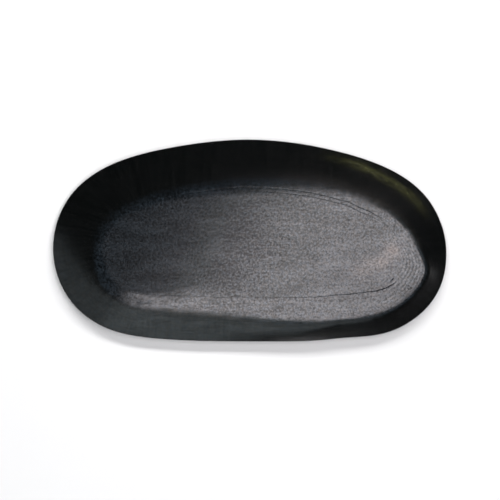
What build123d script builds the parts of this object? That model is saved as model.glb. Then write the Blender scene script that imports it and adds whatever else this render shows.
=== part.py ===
from build123d import *
from math import radians, tan
import os

# An oval potter's rib, moulded as one piece of hard rubber.
# The flat back lies on Z = 0. X runs along the length, Y across, and Z up through the bevelled face.

# Driving sizes, in millimetres
length = 101.6
width = 52.2
thickness = 6.4

# Rim: the thin upright wall that the clay meets
rim_height = 2.1
rim_round = 0.6
back_round = 0.4

# Margin: the hand-ground bevel from the rim up to the shoulder, in two slopes that meet at a knee
margin = 12.4
knee_bulge = 0.25
knee_round = 12.0
shoulder_round = 4.0

# Crown: the shallow slope from the shoulder up to the flat middle
crown_drop = 0.6
crown_round = 5.0

# Stations round the rim, counterclockwise from the right-hand end. Each row is a share of half the
# length and a share of half the width, then the shares of the margin that lie outside the shoulder
# and outside the flat middle.
station_shares = [
    (1.000, -0.150, 0.56, 0.94),
    (0.976, 0.154, 0.72, 0.96),
    (0.881, 0.470, 0.78, 1.03),
    (0.738, 0.679, 0.80, 1.03),
    (0.535, 0.836, 0.80, 1.01),
    (0.281, 0.951, 0.80, 1.01),
    (-0.050, 0.999, 0.80, 1.03),
    (-0.278, 0.960, 0.82, 1.03),
    (-0.532, 0.865, 0.83, 1.01),
    (-0.735, 0.723, 0.82, 0.99),
    (-0.888, 0.500, 0.82, 0.98),
    (-0.971, 0.233, 0.81, 0.98),
    (-1.000, -0.093, 0.81, 0.98),
    (-0.968, -0.400, 0.79, 0.96),
    (-0.878, -0.670, 0.75, 0.93),
    (-0.719, -0.874, 0.71, 0.88),
    (-0.507, -0.963, 0.65, 0.90),
    (-0.176, -0.996, 0.53, 0.92),
    (0.140, -0.999, 0.38, 0.93),
    (0.349, -0.988, 0.36, 0.92),
    (0.484, -0.962, 0.36, 0.92),
    (0.687, -0.917, 0.40, 0.93),
    (0.822, -0.795, 0.42, 0.91),
    (0.943, -0.558, 0.42, 0.92),
    (0.992, -0.311, 0.44, 0.93),
]

# The station at the left-hand end, where the closed curve of each level is cut in two
left_station = station_shares.index(min(station_shares))

# How much of the wall beside it a rounding may take
round_share = 0.45

# How far from a level an edge may lie and still belong to it
level_tolerance = 0.001


def towards_spine(point):
    """The direction from a rim point straight in to the line along the rib's middle."""
    half_spine = (length - width) / 2
    foot = Vector(max(-half_spine, min(half_spine, point.X)), 0)
    return (foot - point).normalized()


def level(height, inset_shares):
    """The stations at one height, each moved in from the rim by its own share of the margin."""
    points = []
    for (x_share, y_share, _, _), inset_share in zip(station_shares, inset_shares):
        rim_point = Vector(x_share * length / 2, y_share * width / 2)
        inset = towards_spine(rim_point) * margin * inset_share
        points.append(rim_point + inset + Vector(0, 0, height))
    return points


def level_face(points):
    """The flat face inside the smooth closed curve through the stations of a level."""
    curve = Edge.make_spline(points, periodic=True)
    left_end = curve.param_at_point(points[left_station])
    return Face(Wire([curve.trim(0, left_end), curve.trim(left_end, 1)]))


def fitting_round(wanted, below, corner, above):
    """The wanted radius, or the largest that leaves the walls beside the corner standing."""
    limits = []
    for a, b, c in zip(below, corner, above):
        wall = min((b - a).length, (c - b).length)
        turn = radians((b - a).get_angle(c - b))
        limits.append(round_share * wall / tan(turn / 2))
    return min([wanted] + limits)


def rounded(solid, height, radius):
    """The solid with its edges at one height rounded."""
    edges = solid.edges().filter_by_position(Axis.Z, height - level_tolerance, height + level_tolerance)
    return fillet(edges, radius)


def rib_body():
    """The whole rib: an upright rim, a bevel in two slopes, a shallow crown and a flat middle."""
    shoulder_shares = [shoulder_share for _, _, shoulder_share, _ in station_shares]
    crown_shares = [crown_share for _, _, _, crown_share in station_shares]
    knee_shares = [share / 2 for share in shoulder_shares]
    rim_shares = [0 for station in station_shares]
    shoulder_height = thickness - crown_drop
    knee_height = (rim_height + shoulder_height) / 2 + knee_bulge

    back = level(0, rim_shares)
    rim = level(rim_height, rim_shares)
    knee = level(knee_height, knee_shares)
    shoulder = level(shoulder_height, shoulder_shares)
    crown = level(thickness, crown_shares)
    on_back = level(0, crown_shares)
    on_middle = level(thickness, [2 * share for share in crown_shares])

    solid = loft([level_face(points) for points in (back, rim, knee, shoulder, crown)], ruled=True)
    solid = rounded(solid, thickness, fitting_round(crown_round, shoulder, crown, on_middle))
    solid = rounded(solid, shoulder_height, fitting_round(shoulder_round, knee, shoulder, crown))
    solid = rounded(solid, knee_height, fitting_round(knee_round, rim, knee, shoulder))
    solid = rounded(solid, rim_height, fitting_round(rim_round, back, rim, knee))
    return rounded(solid, 0, fitting_round(back_round, on_back, back, rim))


os.makedirs("parts", exist_ok=True)
body = rib_body()
print("volume", round(body.volume, 1), "box", body.bounding_box())
export_step(body, "parts/rib_body.step")
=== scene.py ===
import math
from types import SimpleNamespace

import bmesh
import bpy
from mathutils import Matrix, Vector, noise
from mathutils.bvhtree import BVHTree


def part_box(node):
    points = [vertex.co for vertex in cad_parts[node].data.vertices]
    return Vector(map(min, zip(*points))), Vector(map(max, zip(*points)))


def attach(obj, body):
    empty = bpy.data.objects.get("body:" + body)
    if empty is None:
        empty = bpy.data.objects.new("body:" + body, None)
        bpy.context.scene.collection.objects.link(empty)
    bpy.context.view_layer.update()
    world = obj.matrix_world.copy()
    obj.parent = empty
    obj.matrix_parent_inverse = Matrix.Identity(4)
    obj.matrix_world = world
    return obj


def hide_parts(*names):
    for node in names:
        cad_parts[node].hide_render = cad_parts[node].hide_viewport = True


# A potter's oval rib of hard black rubber, lying on its flat back and seen from straight above.
# X runs along the rib, Y across it and Z up. Lengths are in metres.

MM = 0.001
UP = Vector((0, 0, 1))

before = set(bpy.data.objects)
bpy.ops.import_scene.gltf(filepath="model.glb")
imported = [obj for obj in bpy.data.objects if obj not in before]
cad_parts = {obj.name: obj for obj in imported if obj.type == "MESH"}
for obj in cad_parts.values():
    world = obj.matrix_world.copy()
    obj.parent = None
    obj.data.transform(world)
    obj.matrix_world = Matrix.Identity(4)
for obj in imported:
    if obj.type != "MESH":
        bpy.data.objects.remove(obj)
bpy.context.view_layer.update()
low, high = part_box("rib_body")
length, width, thickness = high - low

# The spine is a line along the rib's middle. The columns of the surface run out from it to the rim, side by
# side along its two sides and fanned out round its two ends.
half_spine = (length - width) / 2
end_radius = width / 2
end_run = math.pi / 2 * end_radius
half_run = 2 * end_run + 2 * half_spine

# The picture's frame, in pixels of the photograph
picture_pixels = 500
outline_pixels = 393.6
outline_centre_pixels = (249.7, 240.55)

# Heights and roundings of the rib
rim_height = 2.1 * MM
rim_round = 0.35 * MM
back_round = 0.4 * MM
crown_drop = 0.6 * MM

# How far under its own level the shoulder's and the crown's line is read off the solid, and how many times
# each line is evened out
under_shoulder = 0.1 * MM
under_crown = 0.03 * MM
rim_passes = 20
face_passes = 30

# How far the ground margin bows out, at the left-hand end and at the right-hand end
left_bulge_share = 0.28
right_bulge_share = -0.04

# Columns round the rib, and how many rings of vertices cover each part of it. The margin's rings lie closer
# together towards the rim.
segments = 720
back_rings = 10
round_rings = 4
margin_rings = 26
margin_crowding = 1.4
crown_rings = 26
middle_rings = 42
merge_gap = 0.001 * MM

# The parting line of the mould round the flat middle. It starts just outside the crown's line and steps in
# or out further round: each row is the turns between which it steps, and how far in it goes.
line_reach = 0.22 * MM
line_start = -0.25 * MM
line_steps = [
    (0.25, 0.35, 0.25 * MM),
    (0.60, 0.72, 0.35 * MM),
    (0.88, 0.93, -0.65 * MM),
]

# The fainter parting line inside it along the top and at the lower right: its gap from the first one, then
# each stretch's turn, its reach and how strongly it shows
second_line_gap = 1.0 * MM
second_line_stretches = [
    (0.13, 0.10, 0.75),
    (0.930, 0.005, 1),
]

# The arcs that a cutter left at the right-hand end. They fade out inwards and cut the parting line.
arc_spacing = 0.9 * MM
arc_turn = 0.955
arc_turn_reach = 0.055
arc_fade = (5 * MM, 8 * MM)
line_cut_turn = 0.96
line_cut_reach = 0.025

# Unevenness of the moulded middle, and of the ground margin, which is even beside the rim
middle_wave_height = 0.025 * MM
middle_wave_length = 24 * MM
middle_wave_width = 6 * MM
middle_wave_level = 0.7
margin_wave_height = 0.04 * MM
margin_wave_size = 9 * MM
margin_wave_start = 1.5 * MM

# Unevenness of the shoulder's line, and the nub where the grinding stopped at the right-hand end. Both die
# out over the margin beside it.
shoulder_wander = 0.14 * MM
shoulder_wander_size = 3 * MM
wander_reach = 4 * MM
nub = 0.3 * MM
nub_turn = 0.963
nub_reach = 0.007

# The satin fades out at the shoulder over this width, and more gently where the grinding faded out, along
# the top, at the upper right and at the bottom right: each row is a turn, its reach and the width added
satin_fade = 0.4 * MM
gentle_fades = [
    (0.32, 0.22, 3 * MM),
    (0.09, 0.06, 1.4 * MM),
    (0.79, 0.06, 1.2 * MM),
]

# How far inwards the grinding ran on at the left-hand end, and how much of the satin's shine it left there
run_on = 2.4 * MM
run_on_turn = 0.46
run_on_reach = 0.07
left_shine_share = 0.3

# The satin starts on the margin, clear of the rim
satin_rise = 1 * MM

# A painted olive reflection on the margin at the upper right: the turns where it starts and ends, and
# how it comes closer to the rim further round
olive_reflection_inset = 2.9 * MM
olive_reflection_reach = 1.0 * MM
olive_reflection_start = (0.02, 0.06)
olive_reflection_end = (0.13, 0.19)
olive_reflection_drift = 0.9 * MM
olive_reflection_drift_turns = (0.08, 0.15)

# Pale spots of clay dust on the middle: each spot's place and size in millimetres, then how strong it is
dust_spots = [
    (Vector((36.6, -2.7, 0)), 1.9, 1.0),
    (Vector((34.0, -5.6, 0)), 1.7, 0.8),
    (Vector((31.2, -6.0, 0)), 1.6, 0.5),
    (Vector((28.4, -7.5, 0)), 2.2, 0.4),
]

# How many times as long as they are wide the streaks of the grinding and the fine rubs are
stretch = 10

# The widest roll of an edge, the soft part of the shoulder's roll, and the turns where it is crisp instead
widest_roll = 4.5 * MM
soft_roll = 2 * MM
soft_roll_share = 0.35
crisp_turns = (0.61, 0.95)
crisp_reach = 0.05
crispness = 0.85

# How the face changes at even turns round the rib, counterclockwise from the right-hand end. Each row is
# the shoulder's and the crown's roll as shares of the widest, the crown's drop as a share of the one above,
# how far the grinding strayed out past the even shoulder as a share of a millimetre, and how strongly the
# parting line shows.
face_shares = [
    (0.40, 0.25, 0.55, 0.25, 0.00),
    (0.30, 0.60, 1.15, 0.20, 0.35),
    (0.32, 0.60, 1.10, 0.30, 0.90),
    (0.35, 0.55, 1.00, 0.40, 0.90),
    (0.55, 0.60, 0.85, 0.60, 0.65),
    (0.60, 0.50, 0.70, 0.60, 0.60),
    (0.60, 0.48, 0.85, 0.25, 0.70),
    (0.32, 0.38, 1.05, 0.00, 0.75),
    (0.27, 0.27, 1.10, 0.00, 0.60),
    (0.29, 0.40, 1.10, 0.00, 0.35),
    (0.29, 0.32, 1.10, 0.00, 0.18),
    (0.27, 0.50, 1.10, 0.00, 0.40),
    (0.22, 0.22, 1.00, 0.00, 0.80),
    (0.22, 0.30, 0.95, 0.10, 0.70),
    (0.20, 0.08, 1.10, 0.75, 0.20),
    (0.16, 0.06, 1.12, 0.85, 0.10),
    (0.35, 0.28, 0.52, -0.35, 0.15),
    (0.50, 0.85, 0.85, -0.65, 0.25),
    (0.75, 0.45, 1.10, 0.30, 0.25),
    (0.70, 0.26, 1.15, 0.95, 0.45),
    (0.22, 0.20, 1.25, 0.40, 0.80),
    (0.20, 0.18, 1.15, 0.30, 1.00),
    (0.15, 0.30, 0.90, 0.28, 1.00),
    (0.15, 0.25, 0.80, 0.35, 0.00),
]


def around(shares, turn):
    """A share read off a smooth closed line through evenly spaced shares, at a turn from 0 to 1."""
    place = turn * len(shares)
    step = math.floor(place)
    t = place - step
    before, start, end, after = (shares[(step + k) % len(shares)] for k in (-1, 0, 1, 2))
    slope_in = (end - before) / 2
    slope_out = (after - start) / 2
    rise = end - start
    square = 3 * rise - 2 * slope_in - slope_out
    cube = slope_in + slope_out - 2 * rise
    return start + t * (slope_in + t * (square + t * cube))


def ramp(value, start, end):
    """0 before start, 1 after end, and a smooth step between them."""
    t = max(0, min(1, (value - start) / (end - start)))
    return t * t * (3 - 2 * t)


def hump(value, centre, reach):
    """A bell of height 1 round a centre."""
    return math.exp(-(((value - centre) / reach) ** 2))


def near_turn(turn, centre, reach):
    """A bell of height 1 round a turn, measured the short way round."""
    gap = abs(turn - centre) % 1
    return hump(min(gap, 1 - gap), 0, reach)


def spine_station(turn):
    """The foot on the rib's spine, and the direction from it out to the rim, at a turn from 0 to 1."""
    travelled = min(turn, 1 - turn) * 2 * half_run
    if travelled < end_run:
        foot = half_spine
        angle = travelled / end_radius
    elif travelled < end_run + 2 * half_spine:
        foot = half_spine - (travelled - end_run)
        angle = math.pi / 2
    else:
        foot = -half_spine
        angle = (travelled - 2 * half_spine) / end_radius
    if turn > 0.5:
        angle = -angle
    return Vector((foot, 0, 0)), Vector((math.cos(angle), math.sin(angle), 0))


def column_of(place):
    """The nearest column and the distance from the spine of a place on the rib."""
    foot_x = max(-half_spine, min(half_spine, place.x))
    away = Vector((place.x - foot_x, place.y, 0))
    angle = abs(math.atan2(away.y, away.x))
    travelled = angle * end_radius + half_spine - foot_x
    turn = travelled / (2 * half_run)
    if away.y < 0:
        turn = 1 - turn
    return round(turn * segments) % segments, away.length


def evened(values, passes):
    """A closed row of values, each drawn towards its neighbours."""
    for _ in range(passes):
        before = values[-1:] + values[:-1]
        after = values[1:] + values[:1]
        values = [(a + 2 * b + c) / 4 for a, b, c in zip(before, values, after)]
    return values


# Every column's turn, its foot on the spine with its direction, and its place on an even oval round it
turns = [i / segments for i in range(segments)]
spine = [spine_station(turn) for turn in turns]
even_oval = [foot + out * end_radius for foot, out in spine]

# The face's shares at every column
shoulder_rolls, crown_rolls, crown_drops, shoulder_strays, parting_shares = (
    [scale * around(shares, turn) for turn in turns]
    for scale, shares in zip((widest_roll, widest_roll, crown_drop, MM, 1), zip(*face_shares))
)
soft_shares = [
    soft_roll_share * (1 - crispness * sum(near_turn(turn, crisp, crisp_reach) for crisp in crisp_turns))
    for turn in turns
]
solid = BVHTree.FromObject(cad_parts["rib_body"], bpy.context.evaluated_depsgraph_get())


def solid_reach(height, passes):
    """How far the solid reaches out from its spine at one height, all the way round."""
    found = [solid.ray_cast(foot + UP * height, out)[3] for foot, out in spine]
    return evened(found, passes)


def wander(i):
    """How far the shoulder's line strays outwards in column i."""
    stray = shoulder_strays[i] + shoulder_wander * noise.noise(even_oval[i] / shoulder_wander_size)
    return stray + nub * near_turn(turns[i], nub_turn, nub_reach)


rim_reach = solid_reach(rim_height / 2, rim_passes)
even_shoulder_reach = solid_reach(thickness - crown_drop - under_shoulder, face_passes)
shoulder_reach = [distance + wander(i) for i, distance in enumerate(even_shoulder_reach)]
crown_reach = solid_reach(thickness - under_crown, face_passes)


def bulge(i):
    """How far the margin bows out in column i, more at the left-hand end than at the right."""
    leftness = (1 - math.cos(2 * math.pi * turns[i])) / 2
    return right_bulge_share + (left_bulge_share - right_bulge_share) * leftness


def plain_height(i, r):
    """The height of the upper face with sharp edges, in column i, at a distance r from the spine."""
    rim, shoulder, crown = rim_reach[i], shoulder_reach[i], crown_reach[i]
    if r >= shoulder:
        calm = ramp(r - shoulder, 0, wander_reach)
        shoulder += (even_shoulder_reach[i] + shoulder_strays[i] - shoulder) * calm
        s = (rim - r) / (rim - shoulder)
        return rim_height + (thickness - crown_drops[i] - rim_height) * (s + bulge(i) * s * (1 - s))
    return thickness - crown_drops[i] * max(0, r - crown) / (shoulder - crown)


def rolled_corner(gap, bend, roll):
    """How far a rolled-over corner falls below a sharp one of the same bend, at a gap from it."""
    return bend * max(0, roll - abs(gap)) ** 2 / (4 * roll)


def rolled_height(i, r):
    """The same height with the shoulder and the crown rolled over."""
    rim, shoulder, crown = rim_reach[i], shoulder_reach[i], crown_reach[i]
    crown_slope = crown_drops[i] / (shoulder - crown)
    margin_slope = (thickness - crown_drops[i] - rim_height) / (rim - shoulder) * (1 - bulge(i))
    bend = margin_slope - crown_slope
    return (
        plain_height(i, r)
        - rolled_corner(r - shoulder, bend * (1 - soft_shares[i]), shoulder_rolls[i])
        - rolled_corner(r - shoulder, bend * soft_shares[i], shoulder_rolls[i] + soft_roll)
        - rolled_corner(r - crown, crown_slope, crown_rolls[i])
    )


def satin_at(i, r):
    """1 on the satin of the moulded middle and 0 on the ground margin, in column i, at a distance r."""
    turn = turns[i]
    gap = shoulder_reach[i] - r
    fade = satin_fade + sum(added * near_turn(turn, centre, reach) for centre, reach, added in gentle_fades)
    late = run_on * near_turn(turn, run_on_turn, run_on_reach)
    outer = ramp(gap, -satin_fade, fade)
    inner = ramp(gap, late - satin_fade, late + fade)
    return left_shine_share * outer + (1 - left_shine_share) * inner


def waves(i, r):
    """The slight unevenness of the upper face, in column i, at a distance r from the spine."""
    foot, out = spine[i]
    place = foot + out * r
    moulded = noise.noise((place.x / middle_wave_length, place.y / middle_wave_width, middle_wave_level))
    ground = noise.noise(even_oval[i] / margin_wave_size + UP * (r / margin_wave_size))
    share = satin_at(i, r)
    on_margin = (1 - share) * ramp(rim_reach[i] - r, 0, margin_wave_start)
    return middle_wave_height * share * moulded + margin_wave_height * on_margin * ground


def face_ring(distances):
    """A ring of the upper face: each column's distance from the spine, and its height."""
    return [(r, rolled_height(i, r) + waves(i, r)) for i, r in enumerate(distances)]


def rim_rounding(i, share):
    """The rounding between the upright rim and the margin in column i, a share of the way up it."""
    rim = rim_reach[i]
    edge_height = rolled_height(i, rim)
    rise = rolled_height(i, rim - rim_round) - edge_height
    full_turn = math.pi / 2 - math.atan2(rise, rim_round)
    turned = full_turn * share
    foot_height = edge_height - rim_round * math.tan(full_turn / 2)
    return rim - rim_round * (1 - math.cos(turned)), foot_height + rim_round * math.sin(turned)


def back_and_rim_rings():
    """The rings of the flat back from the spine out, and of the rim from its foot to its top."""
    rings = []
    for k in range(1, back_rings + 1):
        rings.append([((rim - back_round) * k / back_rings, 0) for rim in rim_reach])
    for k in range(1, round_rings + 1):
        angle = math.pi / 2 * k / round_rings
        inset = back_round * (1 - math.sin(angle))
        rings.append([(rim - inset, back_round * (1 - math.cos(angle))) for rim in rim_reach])
    rings.append([(rim, rim_height / 2) for rim in rim_reach])
    rings.append([(rim, rim_height - 2 * rim_round) for rim in rim_reach])
    for k in range(round_rings + 1):
        rings.append([rim_rounding(i, k / round_rings) for i in range(segments)])
    return rings


def between(outer, inner, share):
    """A closed row of distances, a share of the way from one row to another."""
    return [a + (b - a) * share for a, b in zip(outer, inner)]


def upper_rings():
    """The rings of the ground margin, the crown and the flat middle, inwards."""
    rounding_end = [rim_rounding(i, 1)[0] for i in range(segments)]
    middle = [0] * segments
    rings = []
    for k in range(1, margin_rings + 1):
        share = (k / margin_rings) ** margin_crowding
        rings.append(face_ring(between(rounding_end, shoulder_reach, share)))
    for k in range(1, crown_rings + 1):
        rings.append(face_ring(between(shoulder_reach, crown_reach, k / crown_rings)))
    for k in range(1, middle_rings + 1):
        rings.append(face_ring(between(crown_reach, middle, k / middle_rings)))
    return rings


def drawn_out(bm, last, places):
    """A new ring of vertices, extruded from the last ring to its places."""
    edges = [bm.edges.get((last[i - 1], last[i])) for i in range(len(last))]
    made = bmesh.ops.extrude_edge_only(bm, edges=edges)["geom"]
    fresh = {part for part in made if isinstance(part, bmesh.types.BMVert)}
    ring = []
    for vertex, place in zip(last, places):
        ends = (edge.other_vert(vertex) for edge in vertex.link_edges)
        follower = next(end for end in ends if end in fresh)
        follower.co = place
        ring.append(follower)
    return ring


def rib_skin():
    """The rib's whole surface, drawn from the spine of the back out, over the rim and in to the spine."""
    bm = bmesh.new()
    ring = bmesh.ops.create_circle(bm, segments=segments, radius=end_radius)["verts"]
    for vertex, (foot, out) in zip(ring, spine):
        vertex.co = foot
    for distances in back_and_rim_rings() + upper_rings():
        places = [foot + out * r + UP * z for (foot, out), (r, z) in zip(spine, distances)]
        ring = drawn_out(bm, ring, places)
    bmesh.ops.remove_doubles(bm, verts=bm.verts, dist=merge_gap)
    bmesh.ops.recalc_face_normals(bm, faces=bm.faces)

    mesh = bpy.data.meshes.new("rib_skin")
    bm.to_mesh(mesh)
    bm.free()
    mesh.shade_smooth()
    return mesh


def finishes_and_reflection_at(i, r, place):
    """Where the satin, the painted olive reflection and the smudges of clay dust lie, each from 0 to 1."""
    turn = turns[i]
    satin_share = satin_at(i, r) * ramp(place.z, rim_height, rim_height + satin_rise)
    # The painted olive reflection: a band along the margin at the upper right
    reflection_length = ramp(turn, *olive_reflection_start) * (1 - ramp(turn, *olive_reflection_end))
    reflection_middle = olive_reflection_inset - olive_reflection_drift * ramp(turn, *olive_reflection_drift_turns)
    olive_reflection = reflection_length * hump(rim_reach[i] - r, reflection_middle, olive_reflection_reach)
    dust = 0
    for spot, size, share in dust_spots:
        dust += share * hump((place - spot * MM).xy.length, 0, size * MM)
    return satin_share, olive_reflection, min(1, dust)


def gaps_at(i, r):
    """The distances in from the even shoulder and from the parting line, in millimetres."""
    line_stray = line_start + sum(step * ramp(turns[i], start, end) for start, end, step in line_steps)
    return (even_shoulder_reach[i] - r) / MM, (crown_reach[i] - r - line_stray) / MM, 0


def lines_at(i, r):
    """How strongly the parting line, the second line and the cutter's arcs show, each from 0 to 1."""
    turn = turns[i]
    parting = parting_shares[i] * (1 - near_turn(turn, line_cut_turn, line_cut_reach))
    second = sum(share * near_turn(turn, centre, reach) for centre, reach, share in second_line_stretches)
    arcs = near_turn(turn, arc_turn, arc_turn_reach) * (1 - ramp(even_shoulder_reach[i] - r, *arc_fade))
    return parting, second, arcs


def mark_finishes(mesh):
    """Stores on the mesh where each finish and mark and the painted olive reflection lie, for the material
    to read, and the places that make a pattern run across the margin or along it."""
    names = ("finishes_and_reflection", "gaps_mm", "lines", "across", "along")
    for name in names:
        mesh.attributes.new(name, "FLOAT_VECTOR", "POINT")
    layers = [mesh.attributes[name].data for name in names]
    for vertex in mesh.vertices:
        i, r = column_of(vertex.co)
        across = even_oval[i] + UP * (r / stretch)
        along = even_oval[i] / stretch + UP * r
        values = (finishes_and_reflection_at(i, r, vertex.co), gaps_at(i, r), lines_at(i, r), across, along)
        for layer, value in zip(layers, values):
            layer[vertex.index].vector = value


def linear(hex_colour):
    """The linear colour of an sRGB hex value, with an alpha of 1."""
    channels = [int(hex_colour[k:k + 2], 16) / 255 for k in (1, 3, 5)]
    return [c / 12.92 if c <= 0.04045 else ((c + 0.055) / 1.055) ** 2.4 for c in channels] + [1]


def in_use(sockets):
    """The sockets that a node's settings leave in use. A Mix node has spare ones of the same name."""
    return [socket for socket in sockets if socket.enabled]


def node(tree, kind, inputs=(), **settings):
    """A node with its settings. Its inputs take plain values, other nodes or their sockets, by name or in
    order."""
    made = tree.nodes.new("ShaderNode" + kind)
    for name, value in settings.items():
        setattr(made, name, value)
    if isinstance(inputs, dict):
        pairs = [(made.inputs[name], value) for name, value in inputs.items()]
    else:
        pairs = zip(in_use(made.inputs), inputs)
    for taker, value in pairs:
        if isinstance(value, bpy.types.Node):
            value = in_use(value.outputs)[0]
        if isinstance(value, bpy.types.NodeSocket):
            tree.links.new(value, taker)
        else:
            taker.default_value = value
    return made


def stored(tree, name):
    """The three parts of a vector stored on the mesh."""
    vector = node(tree, "Attribute", attribute_name=name).outputs["Vector"]
    return node(tree, "SeparateXYZ", [vector]).outputs


def speckle(tree, place, size, detail=2):
    """Noise from -1 to 1 with grains of about a given size, made from the part of the plain noise that most
    of it lies in."""
    plain = (0.35, 0.65)
    grain = node(tree, "TexNoise", {"Vector": place, "Scale": 1 / size, "Detail": detail, "Roughness": 0.6})
    return node(tree, "MapRange", [grain, *plain, -1, 1])


def layered(tree, base, layers):
    """A base value with patterns laid over it, each a pattern and the share of it that shows."""
    for pattern, share in layers:
        base = node(tree, "Math", [pattern, share, base], operation="MULTIPLY_ADD")
    return base


# Sizes of the patterns in the rubber. The grain of the mould is a little coarser than the real one, so that
# it shows. The bloom and the scuffs are drawn out along the rib by the share given for its length.
grain_size = 0.5 * MM
pit_spacing = 0.8 * MM
bloom_width = 3.5 * MM
bloom_along = 0.3
scuff_width = 0.6 * MM
scuff_along = 0.08
streak_width = 0.8 * MM
rub_width = 0.4 * MM
patch_size = 1.4 * MM
tint_size = 0.9 * MM
line_wave = 2.5 * MM
arc_wave = 4 * MM


def rubber_patterns(tree):
    """The patterns in the rubber, from -1 to 1, with the sparse pits from 0 to 1. The streaks of the
    grinding run across the margin, and the rubs follow the outline."""
    place = node(tree, "TexCoord").outputs["Object"]
    across = node(tree, "Attribute", attribute_name="across").outputs["Vector"]
    along = node(tree, "Attribute", attribute_name="along").outputs["Vector"]
    bloom_place = node(tree, "Mapping", {"Vector": place, "Scale": (bloom_along, 1, 1)})
    scuff_place = node(tree, "Mapping", {"Vector": place, "Scale": (scuff_along, 1, 1)})
    return SimpleNamespace(
        place=place,
        grain=speckle(tree, place, grain_size, detail=3),
        pits=node(tree, "MapRange", [speckle(tree, place, pit_spacing), 0.6, 1, 0, 1]),
        bloom=speckle(tree, bloom_place, bloom_width),
        scuffs=speckle(tree, scuff_place, scuff_width),
        streaks=speckle(tree, across, streak_width),
        rubs=speckle(tree, along, rub_width),
        patches=speckle(tree, place, patch_size, detail=4),
        tints=speckle(tree, place, tint_size),
    )


def drawn_line(tree, gap, centre, share):
    """A line at one value of a gap, as strong as its share and 0 beyond its reach."""
    off_centre = node(tree, "Math", [gap, centre], operation="SUBTRACT")
    away = node(tree, "Math", [off_centre], operation="ABSOLUTE")
    line = node(tree, "MapRange", [away, 0, line_reach / MM, 1, 0])
    return node(tree, "Math", [line, share], operation="MULTIPLY")


def parting_lines(tree, patterns, line_gap, parting_share, second_share):
    """The parting lines of the mould, 0.2 mm wide, which stray by up to 0.1 mm."""
    stray = layered(tree, line_gap, [(speckle(tree, patterns.place, line_wave), 0.1)])
    parting = drawn_line(tree, stray, 0, parting_share)
    second = drawn_line(tree, stray, second_line_gap / MM, second_share)
    return node(tree, "Math", [second, parting], operation="MAXIMUM")


def cutter_arcs(tree, patterns, shoulder_gap, arc_share):
    """The arcs of the cutter, from -1 to 1, patchy and a little wavy."""
    phase = node(tree, "Math", [shoulder_gap, 2 * math.pi * MM / arc_spacing], operation="MULTIPLY")
    phase = layered(tree, phase, [(speckle(tree, patterns.place, arc_wave), 1)])
    patchy = node(tree, "MapRange", [patterns.patches, -1, 1, 0.5, 1])
    arc_share = node(tree, "Math", [arc_share, patchy], operation="MULTIPLY")
    arcs = node(tree, "Math", [phase], operation="SINE")
    return node(tree, "Math", [arcs, arc_share], operation="MULTIPLY")


def ragged_satin(tree, patterns, satin_share):
    """The satin with the grain eating into its edge, where the grinding took the tops off it."""
    ragged = layered(tree, satin_share, [(patterns.grain, 0.15)])
    inside = node(tree, "MapRange", [satin_share, 0, 0.3, 0, 1])
    ragged = node(tree, "Math", [ragged, inside], operation="MULTIPLY")
    return node(tree, "MapRange", [ragged, 0, 1, 0, 1])


def worn_grain(tree, patterns, satin_share):
    """How far the grain is worn dull along the edge of the satin."""
    ground_share = node(tree, "Math", [1, satin_share], operation="SUBTRACT")
    edge = node(tree, "Math", [satin_share, ground_share], operation="MULTIPLY")
    tops = node(tree, "MapRange", [patterns.grain, -0.3, 0.6, 0, 1.2])
    return node(tree, "Math", [edge, tops], operation="MULTIPLY")


def rubber_colour(tree, patterns, satin, reflection_share, dust_share):
    """The colour: ground black, bloomed satin black, and the painted olive reflection and the clay dust on
    them.
    """
    bloomed = layered(tree, patterns.grain, [(patterns.bloom, 0.35)])
    bloomed = node(tree, "MapRange", [bloomed, -0.8, 1, 0, 1])
    streaked = node(tree, "MapRange", [patterns.streaks, -1, 1, 0, 1])
    satin_black = node(tree, "Mix", [bloomed, linear("#040608"), linear("#1A2025")], data_type="RGBA")
    ground_black = node(tree, "Mix", [streaked, linear("#020303"), linear("#060707")], data_type="RGBA")
    colour = node(tree, "Mix", [satin, ground_black, satin_black], data_type="RGBA")

    # A painted olive reflection on the margin at the upper right, streaky along the outline
    reflection_streaks = layered(tree, patterns.rubs, [(patterns.patches, 0.5)])
    reflection_streaks = node(tree, "MapRange", [reflection_streaks, -1, 1, 0.15, 0.9])
    painted_reflection = node(tree, "Math", [reflection_share, reflection_streaks], operation="MULTIPLY")
    colour = node(tree, "Mix", [painted_reflection, colour, linear("#2F301A")], data_type="RGBA")

    grainy = node(tree, "MapRange", [patterns.grain, -1, 1, 0.3, 0.9])
    dust = node(tree, "Math", [dust_share, grainy], operation="MULTIPLY")
    return node(tree, "Mix", [dust, colour, linear("#635751")], data_type="RGBA")


def rubber_shine(tree, patterns, satin, worn, arcs, lines, shoulder_gap):
    """The shine: uneven on the grain, alternating on the arcs, dull in the pits, the lines and the worn
    grain."""
    ground_shine = layered(tree, 0, [(patterns.streaks, 0.07), (patterns.grain, 0.15)])
    satin_shine = layered(tree, 0, [(patterns.grain, 0.34), (patterns.pits, -0.3)])
    near_edge = node(tree, "MapRange", [shoulder_gap, 3, 7, 1, 0])
    edge_rubs = node(tree, "Math", [patterns.rubs, near_edge], operation="MULTIPLY")
    uneven = node(tree, "Mix", [satin, ground_shine, satin_shine])
    uneven = layered(tree, uneven, [
        (patterns.bloom, 0.10),
        (patterns.scuffs, 0.06),
        (edge_rubs, 0.12),
        (arcs, 0.3),
        (worn, -1),
    ])
    shine = node(tree, "Math", [uneven, 0.5, 0.52], operation="MULTIPLY_ADD")
    beside_lines = node(tree, "MapRange", [lines, 0, 1, 1, 0.15])
    return node(tree, "Math", [shine, beside_lines], operation="MULTIPLY")


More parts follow.
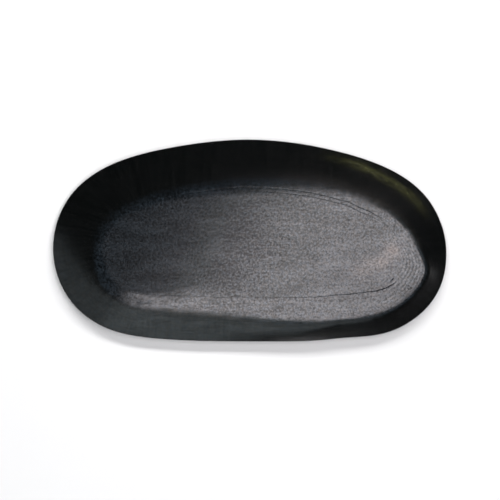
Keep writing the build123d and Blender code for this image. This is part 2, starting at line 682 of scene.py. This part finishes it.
def rubber_relief(tree, patterns, satin, lines):
    """The fine relief, in millimetres: grain 0.0008 mm high and lines 0.03 mm deep."""
    grain_height = node(tree, "Math", [patterns.grain, 0.0008], operation="MULTIPLY")
    grain_height = node(tree, "Math", [grain_height, satin], operation="MULTIPLY")
    height = layered(tree, grain_height, [(lines, -0.03)])
    return node(tree, "Bump", {"Height": height, "Strength": 1, "Distance": 1 * MM})


def hard_rubber():
    """Hard black rubber, moulded satin in the middle and ground smooth on the margin.

    The moulded skin keeps the grain and the parting lines of its mould, and a grey bloom. Grinding cuts
    through them to a darker, smoother black with faint streaks across the margin."""
    material = bpy.data.materials.new("moulded_and_ground_hard_rubber")
    material.use_nodes = True
    tree = material.node_tree
    tree.nodes.clear()
    patterns = rubber_patterns(tree)
    # The satin, the painted olive reflection and the clay dust
    satin_share, reflection_share, dust_share = stored(tree, "finishes_and_reflection")
    shoulder_gap, line_gap, _ = stored(tree, "gaps_mm")
    parting_share, second_share, arc_share = stored(tree, "lines")

    satin = ragged_satin(tree, patterns, satin_share)
    worn = worn_grain(tree, patterns, satin_share)
    lines = parting_lines(tree, patterns, line_gap, parting_share, second_share)
    arcs = cutter_arcs(tree, patterns, shoulder_gap, arc_share)
    tinted = node(tree, "MapRange", [patterns.tints, -1, 1, 0, 1])
    tint = node(tree, "Mix", [tinted, linear("#FFFAF7"), linear("#F7FAFF")], data_type="RGBA")
    shader = node(tree, "BsdfPrincipled", {
        "Base Color": rubber_colour(tree, patterns, satin, reflection_share, dust_share),
        "Roughness": node(tree, "Mix", [satin, 0.24, 0.19]),
        "Normal": rubber_relief(tree, patterns, satin, lines),
        "IOR": 1.6,
        "Specular IOR Level": rubber_shine(tree, patterns, satin, worn, arcs, lines, shoulder_gap),
        "Specular Tint": tint,
    })
    node(tree, "OutputMaterial", {"Surface": shader})
    return material


def rib():
    """The rib itself, in its finished skin."""
    mesh = rib_skin()
    mark_finishes(mesh)
    mesh.materials.append(hard_rubber())
    piece = bpy.data.objects.new("rib_skin", mesh)
    bpy.context.collection.objects.link(piece)
    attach(piece, "root")
    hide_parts("rib_body")


def white_card():
    """Matt white card, which scatters light evenly and takes the rib's soft shadow."""
    material = bpy.data.materials.new("matt_white_card")
    material.use_nodes = True
    tree = material.node_tree
    tree.nodes.clear()
    card = node(tree, "BsdfDiffuse", {"Color": linear("#D6D6D6")})
    node(tree, "OutputMaterial", {"Surface": card})
    return material


def floor():
    """A plain white floor just under the rib."""
    half_size = 2
    drop = 0.02 * MM
    bm = bmesh.new()
    bmesh.ops.create_grid(bm, x_segments=1, y_segments=1, size=half_size)
    mesh = bpy.data.meshes.new("floor")
    bm.to_mesh(mesh)
    bm.free()
    mesh.materials.append(white_card())
    card = bpy.data.objects.new("floor", mesh)
    card.location.z = -drop
    bpy.context.collection.objects.link(card)


def camera():
    """A camera straight above, framed so that the outline falls where the photograph has it."""
    camera_height = 0.6
    sensor_mm = 36
    pixel = length / outline_pixels
    data = bpy.data.cameras.new("camera")
    data.sensor_width = sensor_mm
    data.lens = sensor_mm * (camera_height - rim_height) / (picture_pixels * pixel)
    made = bpy.data.objects.new("camera", data)
    centre = picture_pixels / 2
    made.location = (
        (centre - outline_centre_pixels[0]) * pixel,
        (outline_centre_pixels[1] - centre) * pixel,
        camera_height,
    )
    bpy.context.collection.objects.link(made)
    bpy.context.scene.camera = made


# The lamps beside the key: two fills on the near side, two walls beyond the right-hand end, a strip at the
# far side and one overhead. Each row is the name, the place, the size, the radiance, the colour and whether
# the rib mirrors it.
softboxes = [
    ("fill", (-0.295, -0.305, 0.26), (1.05, 0.32), 0.45, "#EDFBFF", True),
    ("low_fill", (-0.06, -0.38, 0.32), (0.36, 0.32), 0.53, "#EDFBFF", True),
    ("right_wall", (0.27, -0.19, 0.37), (0.35, 0.14), 0.3, "#E8F4FF", True),
    ("far_right_wall", (0.23, 0.22, 0.39), (0.40, 0.09), 0.18, "#FFFBEA", True),
    ("strip", (0.03, 0.50, 0.36), (0.9, 0.11), 21, "#FFFFFF", False),
    ("overhead", (0, 0, 1.5), (1.2, 1.2), 1.3, "#FFFFFF", False),
]


def softbox(name, place, size, glow, colour, mirrored):
    """A rectangular lamp of a given radiance, turned to face the rib."""
    lamp = bpy.data.lights.new(name, "AREA")
    lamp.color = linear(colour)[:3]
    lamp.shape = "RECTANGLE"
    lamp.size, lamp.size_y = size
    lamp.energy = glow * math.pi * lamp.size * lamp.size_y
    made = bpy.data.objects.new(name, lamp)
    made.location = place
    made.rotation_euler = Vector(place).to_track_quat("Z", "Y").to_euler()
    made.visible_glossy = mirrored
    bpy.context.collection.objects.link(made)
    return made


def key_light():
    """A strip softbox level above the rib. Its near edge crosses over the rib, so that the satin
    middle brightens from the upper left to the lower right."""
    height = 0.306
    depth = 0.137
    breadth = 0.4
    edge = -0.004
    bearing = math.radians(-29)
    radiance = 4.0
    middle = edge + depth / 2
    place = (middle * math.cos(bearing), middle * math.sin(bearing), height)
    made = softbox("key", place, (depth, breadth), radiance, "#FFFBFE", True)
    made.rotation_euler = (0, 0, bearing)


def studio():
    """A dim studio above a pale horizon."""
    horizon = (0.02, 0.06)
    dimness = 0.014
    world = bpy.data.worlds.new("studio")
    bpy.context.scene.world = world
    world.use_nodes = True
    tree = world.node_tree
    tree.nodes.clear()
    place = node(tree, "TexCoord").outputs["Generated"]
    rise = node(tree, "SeparateXYZ", [place]).outputs["Z"]
    glow = node(tree, "MapRange", [rise, *horizon, 1, dimness])
    sky = node(tree, "Background", {"Color": linear("#FFFFFF"), "Strength": glow})
    node(tree, "OutputWorld", {"Surface": sky})


def lights():
    """Soft studio light."""
    key_light()
    for row in softboxes:
        softbox(*row)
    studio()


rib()
floor()
camera()
lights()
bpy.context.scene.view_settings.view_transform = "Standard"
